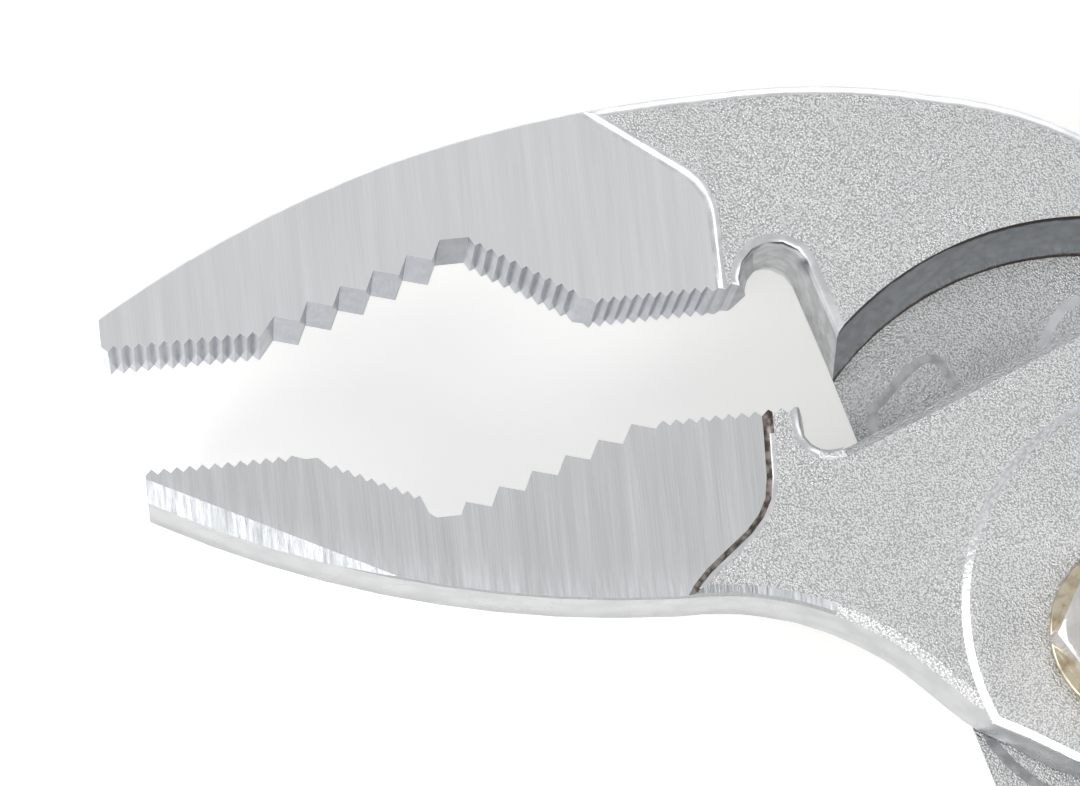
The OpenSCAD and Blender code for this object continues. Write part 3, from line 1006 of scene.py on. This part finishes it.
@dataclass
class FrontHalf(Forging):
    """Lower jaw with the bevelled tip, half thickness plate with the boss, and upper handle, in metres.

    Attributes:
        bevel_level: least and most level of what lies below the cheek.
        broad_level: least and most level of the broad bevel itself.
        bevel_turn: most look along Y of the bevel.
        bevel_depth: how deep it reaches.
        crease_depth: depth beyond which the step down to the cheek is painted dark as shade.
        low_turn: most look along Y of the belly.
        plate_turn: least look along Y of the plate's straight edge.
    """

    node: str = "front_half"
    name: str = "lower_jaw_upper_handle"
    body: str = "front_half"
    slot: str = "front_forging"
    facing: float = 1.0
    cheek_edge: float = -18.2 * MM
    tooth_y: Span = (11.2 * MM, 16.4 * MM)
    slope_x: Span = (-27.8 * MM, -20.4 * MM)
    bevel_level: Span = (0.3, 0.97)
    broad_level: Span = (0.88, 0.94)
    bevel_turn: float = -0.15
    bevel_depth: float = 2 * MM
    crease_depth: float = 0.09 * MM
    low_turn: float = -0.1
    plate_turn: float = 0.1

    def rules(self) -> tuple[Callable[[Face], Surface | None], ...]:
        """Gives the rules in their order."""
        return (self.teeth, self.cheek, self.bevel, self.faces, self.ring, self.slope, self.handle,
                self.glint_rim, self.rim, self.belly)

    def cheek(self, face: Face) -> Surface | None:
        """Finds the ground cheek with its streaks."""
        return Surface.GROUND_LOW if self.is_cheek(face) else None

    def bevel(self, face: Face) -> Surface | None:
        """Finds the broad bevel at the tip, and the dull lip below it.

        Args:
            face: the face.

        Returns:
            The finish there, or nothing elsewhere.
        """
        leans = self.bevel_level[0] < face.level < self.bevel_level[1] and face.way.y < self.bevel_turn
        if not (face.in_jaw and leans and face.depth < self.bevel_depth):
            return None
        return Surface.BEVEL if self.broad_level[0] < face.level < self.broad_level[1] else Surface.LIP

    def slope(self, face: Face) -> Surface | None:
        """Finds the step down to the cheek, with a painted highlight in its upper part and painted
        shade in its lower part.

        Args:
            face: the face.

        Returns:
            The finish there, or nothing elsewhere.
        """
        if not self.is_slope(face):
            return None
        return Surface.CREASE if face.depth > self.crease_depth else Surface.SLOPE_HIGHLIGHT

    def glint_rim(self, face: Face) -> Surface | None:
        """Finds the rim below the neck, whose grain has painted glints."""
        low = face.way.y < self.low_turn and not face.in_jaw
        return Surface.GLINT_EDGE if low and 0 < face.depth < self.rim_depth else None

    def rim(self, face: Face) -> Surface | None:
        """Finds the rim, which is grainy and painted light along the plate's straight edge and smooth
        elsewhere.

        Args:
            face: the face.

        Returns:
            The finish there, or nothing elsewhere.
        """
        if not self.is_rim(face):
            return None
        return Surface.LIT_PLATE_RIM if face.way.y > self.plate_turn and not face.in_jaw else Surface.RIM

    def belly(self, face: Face) -> Surface | None:
        """Finds the smooth wall under the jaw and neck."""
        return Surface.BELLY if face.way.y < self.low_turn and face.depth > 0 else None


@dataclass(frozen=True)
class PivotPiece:
    """A piece of the pivot, in one finish all over."""

    node: str
    name: str
    body: str
    slot: str
    surface: Surface

    def pick(self, _at: Vector, _way: Vector) -> Surface:
        """Gives the piece's one finish."""
        return self.surface


@dataclass(frozen=True)
class Pivot:
    """The bolt, its nut and the two washers.

    Attributes:
        edge: rounding of their sharp edges, in metres.
        pieces: what each of them is.
    """

    edge: float = 0.08 * MM
    pieces: tuple[PivotPiece, ...] = (
        PivotPiece("pivot_bolt", "turned_pivot_bolt", "front_half", "bolt_steel", Surface.TURNED),
        PivotPiece("pivot_nut", "polished_pivot_nut", "front_half", "nut_plate", Surface.POLISH),
        PivotPiece("nut_washer", "plain_nut_washer", "front_half", "washer_plate", Surface.WARM),
        PivotPiece("friction_washer", "back_friction_washer", "slip_washer", "washer_steel",
                   Surface.TURNED),
    )

    def build(self, shop: Workshop) -> list[bpy.types.Object]:
        """Builds the four pieces from the workshop's frame and materials."""
        return [shop.dressed_copy(p.node, p.name, p.body, self.edge, p.pick) for p in self.pieces]


@dataclass(frozen=True)
class PhotoCamera:
    """Camera at the photograph's angle, found from the point straight below it.

    Attributes:
        lens_px: focal length.
        frame_px: width and height of the photograph.
        nadir_px: place in its frame of the point straight below the camera.
        turn_deg: how far the pliers' axes are turned in the picture.
        spot: the camera's place from the pivot's axis and the front faces, in metres.
        sensor_mm: width of the sensor.
        clip_start: nearest distance that is drawn, in metres.
    """

    lens_px: float = 5976.0
    frame_px: Span = (1080.0, 786.0)
    nadir_px: Span = (250.0, 1300.0)
    turn_deg: float = 6.142
    spot: Place = (-58.02 * MM, -34.33 * MM, 360.95 * MM)
    sensor_mm: float = 36.0
    clip_start: float = 10 * MM

    def build(self, top: float) -> bpy.types.Object:
        """Places the camera.

        Args:
            top: height of the forgings' front faces.

        Returns:
            The camera object.
        """
        width, height = self.frame_px
        down = Vector((self.nadir_px[0] - width / 2, height / 2 - self.nadir_px[1], -self.lens_px))
        up = -down.normalized()
        right = (Vector((1, 0, 0)) - up * up.x).normalized()
        back = up.cross(right)
        turn = math.radians(self.turn_deg)
        row_x = right * math.cos(turn) + back * math.sin(turn)
        row_y = back * math.cos(turn) - right * math.sin(turn)
        data = bpy.data.cameras.new("photo_camera")
        data.sensor_width = self.sensor_mm
        data.lens = self.lens_px / width * self.sensor_mm
        data.clip_start = self.clip_start
        made = bpy.data.objects.new("photo_camera", data)
        bpy.context.scene.collection.objects.link(made)
        place = Matrix.Translation(Vector(self.spot) + Vector((0, 0, top)))
        made.matrix_world = place @ Matrix((row_x, row_y, up)).to_4x4()
        bpy.context.scene.camera = made
        return made


@dataclass(frozen=True)
class Floor:
    """Pale floor, which looks nearly white to the camera and in reflections, and keeps shadows.

    Attributes:
        reach: how far it goes each way from the middle, in metres.
        drop: how far it lies below the pliers' lowest point, in metres.
        rough: its roughness.
        specular: how strongly it mirrors.
        lump_rate: how many lumps of its faint tone fit across it.
        low: the darker of its tones.
        high: the lighter of its tones.
        glow: the light added where the camera or a reflection sees it.
        glow_color: that light's colour.
    """

    reach: float = 6.0
    drop: float = 0.4 * MM
    rough: float = 0.9
    specular: float = 0.1
    lump_rate: float = 40.0
    low: Color = (0.88, 0.875, 0.865)
    high: Color = (0.90, 0.895, 0.885)
    glow: float = 0.36
    glow_color: Color = (1.0, 0.99, 0.975)

    def material(self) -> bpy.types.Material:
        """Makes the floor's material.

        Returns:
            The material.
        """
        material = bpy.data.materials.new("pale_floor")
        material.use_nodes = True
        net = Net(material.node_tree)
        lumps = net.add("TexNoise", {"Scale": self.lump_rate}).outputs["Fac"]
        rays = net.add("LightPath", {}).outputs
        seen = net.calc("MAXIMUM", rays["Is Camera Ray"], rays["Is Glossy Ray"])
        seen = net.calc("MAXIMUM", seen, rays["Is Transmission Ray"])
        net.fill(net.tree.nodes["Principled BSDF"], {
            "Roughness": self.rough, "Specular IOR Level": self.specular,
            "Base Color": net.ramp(lumps, self.low, self.high), "Emission Color": (*self.glow_color, 1),
            "Emission Strength": net.calc("MULTIPLY", seen, self.glow)})
        return material

    def build(self) -> bpy.types.Object:
        """Makes the floor.

        Returns:
            The floor object.
        """
        mesh = bpy.data.meshes.new("floor")
        work = bmesh.new()
        bmesh.ops.create_grid(work, x_segments=1, y_segments=1, size=self.reach)
        work.to_mesh(mesh)
        work.free()
        mesh.materials.append(self.material())
        made = bpy.data.objects.new("floor", mesh)
        made.location = (0, 0, -self.drop)
        bpy.context.scene.collection.objects.link(made)
        return made


@dataclass(frozen=True)
class Room:
    """Soft room: bright on the near left, greyer on the far right, an even grey overhead.

    Attributes:
        dark: colour of the far side.
        bright: colour of the near side.
        side_span: the stretch from far to near, 0 to 1, over which the colour changes.
        bright_way: the direction of the bright side.
        overhead: colour overhead.
        rise_span: the stretch of height over which the sides fade into it.
    """

    dark: Color = (0.50, 0.52, 0.55)
    bright: Color = (0.97, 0.975, 0.98)
    side_span: Span = (0.38, 0.78)
    bright_way: Place = (-0.55, -0.83, 0.0)
    overhead: Color = (0.655, 0.66, 0.665)
    rise_span: Span = (0.25, 0.6)

    def build(self) -> None:
        """Makes the room and gives it to the scene."""
        world = bpy.data.worlds.new("soft_room")
        bpy.context.scene.world = world
        world.use_nodes = True
        net = Net(world.node_tree)
        way = net.add("TexCoord", {}).outputs["Generated"]
        side = net.add("VectorMath", {0: way, 1: self.bright_way}, operation="DOT_PRODUCT")
        near = net.remap(side.outputs["Value"], (-1.0, 1.0))
        walls = net.ramp(near, self.dark, self.bright, self.side_span)
        rise = net.remap(net.split(way)["Z"], self.rise_span, smooth=True)
        color = net.cover(walls, self.overhead, rise)
        net.fill(net.tree.nodes["Background"], {"Color": color, "Strength": 1.0})


@dataclass(frozen=True)
class Lamp:
    """A square soft box.

    Attributes:
        name: its name.
        at: its place, in metres.
        size: its side, in metres.
        watts: its power.
    """

    name: str
    at: Place
    size: float
    watts: float

    def build(self, aim: Place) -> bpy.types.Object:
        """Hangs the lamp.

        Args:
            aim: the place that it looks at.

        Returns:
            The lamp object.
        """
        data = bpy.data.lights.new(self.name, "AREA")
        data.size = self.size
        data.energy = self.watts
        made = bpy.data.objects.new(self.name, data)
        made.location = self.at
        made.rotation_euler = (Vector(aim) - Vector(self.at)).to_track_quat("-Z", "Y").to_euler()
        bpy.context.scene.collection.objects.link(made)
        return made


@dataclass(frozen=True)
class Studio:
    """Pale floor, soft light and the camera at the photograph's angle.

    Attributes:
        camera: the camera.
        floor: the floor.
        room: the room.
        aim: the place that the lamps look at, the middle of the head.
        lamps: the lamps.
    """

    camera: PhotoCamera = PhotoCamera()
    floor: Floor = Floor()
    room: Room = Room()
    aim: Place = (-30 * MM, 10 * MM, 8 * MM)
    lamps: tuple[Lamp, ...] = (
        Lamp("key_box", (-0.42, -0.50, 0.72), 0.5, 2.6),
        Lamp("low_box", (-0.95, 0.02, 0.56), 0.5, 2.6),
        Lamp("back_box", (0.15, 0.60, 0.60), 0.4, 0.7),
        Lamp("side_box", (0.6, 0.10, 0.45), 0.35, 0.4),
    )

    def build(self, top: float) -> None:
        """Builds the whole studio.

        Args:
            top: height of the forgings' front faces.
        """
        self.camera.build(top)
        self.floor.build()
        self.room.build()
        for lamp in self.lamps:
            lamp.build(self.aim)
        bpy.context.scene.view_settings.view_transform = "Standard"


def main() -> None:
    """Builds the dressed pliers and the studio."""
    logging.basicConfig(level=logging.INFO, format="%(message)s")
    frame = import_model()
    back, top = (corner.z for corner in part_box("rear_half"))
    shop = Workshop(frame)
    pieces = [
        RearHalf(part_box("rear_half")[0].x, back, top).build(shop),
        FrontHalf(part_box("front_half")[0].x, back, top).build(shop),
        *Pivot().build(shop),
    ]
    for piece in pieces:
        LOG.info("%s: %d faces", piece.name, len(piece.data.polygons))
    Studio().build(top)


if __name__ == "__main__":
    main()
